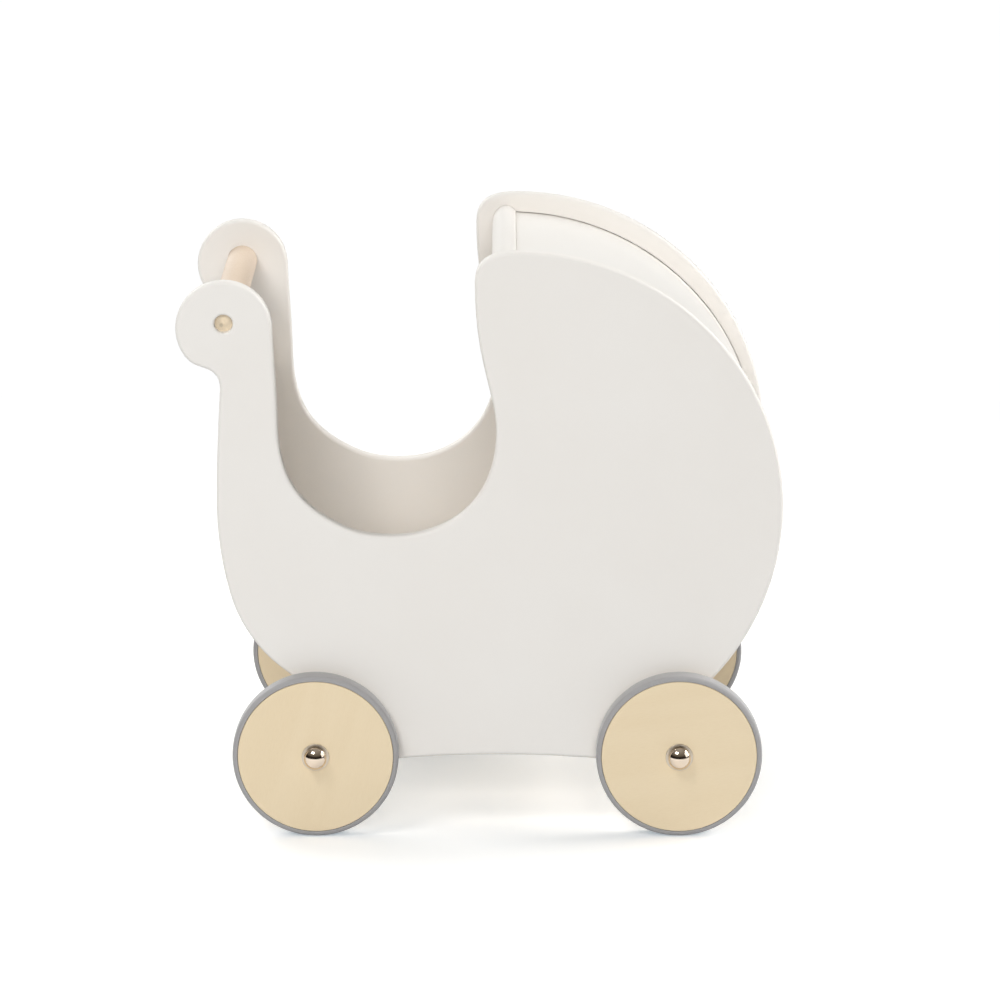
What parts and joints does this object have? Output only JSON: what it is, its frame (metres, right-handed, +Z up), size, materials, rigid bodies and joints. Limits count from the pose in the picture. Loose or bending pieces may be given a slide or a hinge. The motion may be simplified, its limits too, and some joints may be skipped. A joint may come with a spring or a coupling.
{
  "type": "doll stroller",
  "caption": "Low wooden doll's pram: white side boards rising to a round head at each end of the handle bar, an open cot, a fixed bent hood, natural ply wheels and grey tyres.",
  "frame": {"origin": "on the ground, under the middle of the pram's box", "axes": "+X towards the hood end, -X the handle end, +Y the left side, +Z up"},
  "size_m": [0.48, 0.3552, 0.4714],
  "materials": {
    "white_board": "warm white satin paint on board, edges rounded",
    "white_sheet": "white satin paint on bent sheet",
    "natural_beech": "turned beech, clear matt lacquer",
    "birch_ply": "birch ply face, clear matt lacquer",
    "birch_dowel": "bare birch",
    "grey_rubber": "matt light grey rubber",
    "zinc_steel": "bright zinc-plated steel",
    "chrome": "polished chrome",
    "nylon": "natural nylon"
  },
  "bodies": {
    "pram": {"side_panel_left": "white_board", "side_panel_right": "white_board", "hood_front_rail": "white_board", "handle_end_rail": "white_board", "hood_panel": "white_sheet", "handle_end_panel": "white_sheet", "base_panel": "birch_ply", "handle_bar": "natural_beech", "dowel_base_left_1": "birch_dowel", "dowel_base_right_1": "birch_dowel", "dowel_base_left_2": "birch_dowel", "dowel_base_right_2": "birch_dowel", "dowel_base_left_3": "birch_dowel", "dowel_base_right_3": "birch_dowel", "dowel_hood_rail_left_1": "birch_dowel", "dowel_hood_rail_right_1": "birch_dowel", "dowel_hood_rail_left_2": "birch_dowel", "dowel_hood_rail_right_2": "birch_dowel", "dowel_end_rail_left_1": "birch_dowel", "dowel_end_rail_right_1": "birch_dowel", "dowel_end_rail_left_2": "birch_dowel", "dowel_end_rail_right_2": "birch_dowel", "axle_front": "zinc_steel", "axle_rear": "zinc_steel", "spacer_washer_front_left": "zinc_steel", "outer_washer_front_left": "zinc_steel", "axle_cap_front_left": "chrome", "spacer_washer_front_right": "zinc_steel", "outer_washer_front_right": "zinc_steel", "axle_cap_front_right": "chrome", "spacer_washer_rear_left": "zinc_steel", "outer_washer_rear_left": "zinc_steel", "axle_cap_rear_left": "chrome", "spacer_washer_rear_right": "zinc_steel", "outer_washer_rear_right": "zinc_steel", "axle_cap_rear_right": "chrome"},
    "wheel_front_left": {"wheel_disc_front_left": "birch_ply", "tyre_front_left": "grey_rubber", "hub_bush_front_left": "nylon"},
    "wheel_front_right": {"wheel_disc_front_right": "birch_ply", "tyre_front_right": "grey_rubber", "hub_bush_front_right": "nylon"},
    "wheel_rear_left": {"wheel_disc_rear_left": "birch_ply", "tyre_rear_left": "grey_rubber", "hub_bush_rear_left": "nylon"},
    "wheel_rear_right": {"wheel_disc_rear_right": "birch_ply", "tyre_rear_right": "grey_rubber", "hub_bush_rear_right": "nylon"}
  },
  "joints": [
    {"name": "front_left_wheel_spin", "type": "hinge", "parent": "pram", "child": "wheel_front_left", "pos_m": [0.1585, 0.1574, 0.0665], "axis": [0, 1, 0], "continuous": true},
    {"name": "front_right_wheel_spin", "type": "hinge", "parent": "pram", "child": "wheel_front_right", "pos_m": [0.1585, -0.1574, 0.0665], "axis": [0, 1, 0], "continuous": true},
    {"name": "rear_left_wheel_spin", "type": "hinge", "parent": "pram", "child": "wheel_rear_left", "pos_m": [-0.132, 0.1574, 0.0665], "axis": [0, 1, 0], "continuous": true},
    {"name": "rear_right_wheel_spin", "type": "hinge", "parent": "pram", "child": "wheel_rear_right", "pos_m": [-0.132, -0.1574, 0.0665], "axis": [0, 1, 0], "continuous": true}
  ]
}
